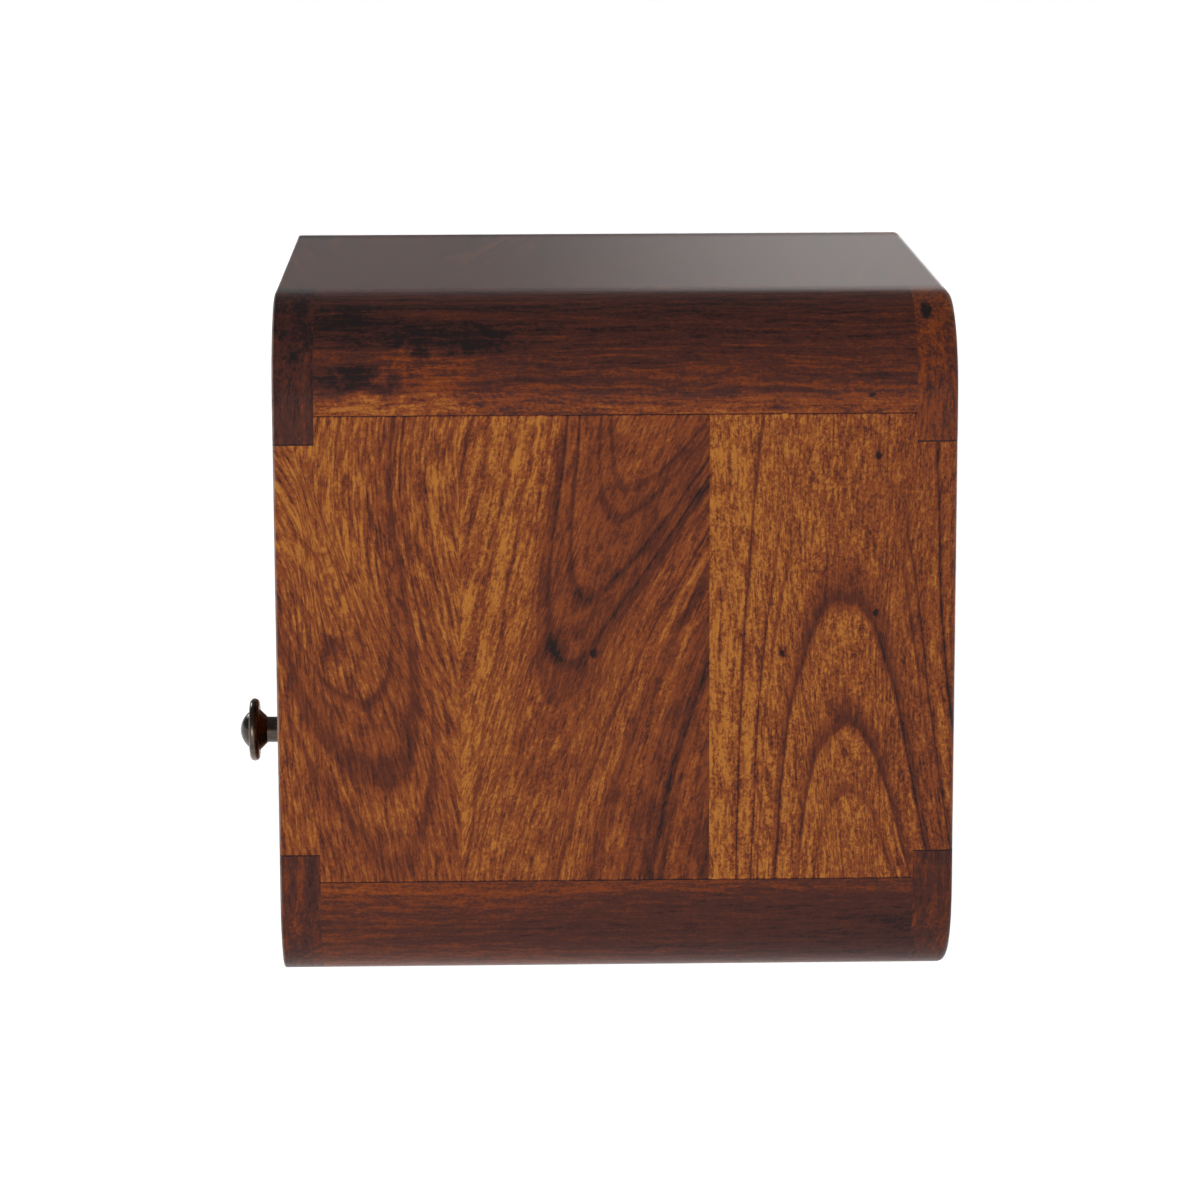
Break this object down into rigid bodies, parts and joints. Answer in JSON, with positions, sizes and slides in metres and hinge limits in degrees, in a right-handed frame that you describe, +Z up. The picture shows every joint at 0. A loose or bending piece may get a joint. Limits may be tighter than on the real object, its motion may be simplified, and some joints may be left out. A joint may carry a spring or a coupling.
{
  "type": "floating nightstand",
  "caption": "Wall-hung wooden bedside cabinet with rounded corners, an open space over a drawer with a turned metal knob, and keyhole plates for hanging.",
  "frame": {"origin": "on the wall plane, midway between the entry holes of the two keyhole hanger plates", "axes": "+X to the right seen from the front, +Y towards the wall, +Z up; the drawer opens along -Y"},
  "size_m": [0.32, 0.326, 0.308],
  "materials": {
    "side_wood": "glossy chestnut stain",
    "panel_wood": "glossy chestnut stain",
    "rail_wood": "glossy dark stain",
    "drawer_wood": "satin oil",
    "back_wood": "matt stain",
    "pale_wood": "bare hardwood",
    "antique_bronze": "dark antique patina",
    "steel": "zinc plated"
  },
  "bodies": {
    "carcass": {"back_panel": "back_wood", "bottom_front_board": "panel_wood", "bottom_left_corner_rail": "rail_wood", "bottom_left_tongues": "pale_wood", "bottom_middle_board": "panel_wood", "bottom_rear_board": "panel_wood", "bottom_right_corner_rail": "rail_wood", "bottom_right_tongues": "pale_wood", "divider_shelf": "panel_wood", "drawer_stop_block": "pale_wood", "end_block_dowels": "pale_wood", "front_bottom_left_end_block": "rail_wood", "front_bottom_right_end_block": "rail_wood", "front_top_left_end_block": "rail_wood", "front_top_right_end_block": "rail_wood", "hanger_plate_screws": "steel", "hanging_rail": "pale_wood", "hanging_rail_dowels": "pale_wood", "left_hanger_plate": "steel", "left_runner": "pale_wood", "left_side_front_board": "side_wood", "left_side_middle_board": "side_wood", "left_side_rear_board": "side_wood", "rear_bottom_left_end_block": "rail_wood", "rear_bottom_right_end_block": "rail_wood", "rear_top_left_end_block": "rail_wood", "rear_top_right_end_block": "rail_wood", "right_hanger_plate": "steel", "right_runner": "pale_wood", "right_side_front_board": "side_wood", "right_side_middle_board": "side_wood", "right_side_rear_board": "side_wood", "runner_screws": "steel", "stop_block_dowels": "pale_wood", "top_front_board": "panel_wood", "top_left_corner_rail": "rail_wood", "top_left_tongues": "pale_wood", "top_middle_board": "panel_wood", "top_rear_board": "panel_wood", "top_right_corner_rail": "rail_wood", "top_right_tongues": "pale_wood"},
    "drawer": {"drawer_face": "panel_wood", "drawer_front": "drawer_wood", "drawer_back": "drawer_wood", "drawer_right_side": "drawer_wood", "drawer_left_side": "drawer_wood", "drawer_bottom": "back_wood", "drawer_face_screws": "steel", "knob": "antique_bronze", "knob_screw": "steel", "knob_washer": "steel"}
  },
  "joints": [
    {"name": "drawer_slide", "type": "slide", "parent": "carcass", "child": "drawer", "axis": [0, -1, 0], "range_m": [0, 0.18]}
  ]
}
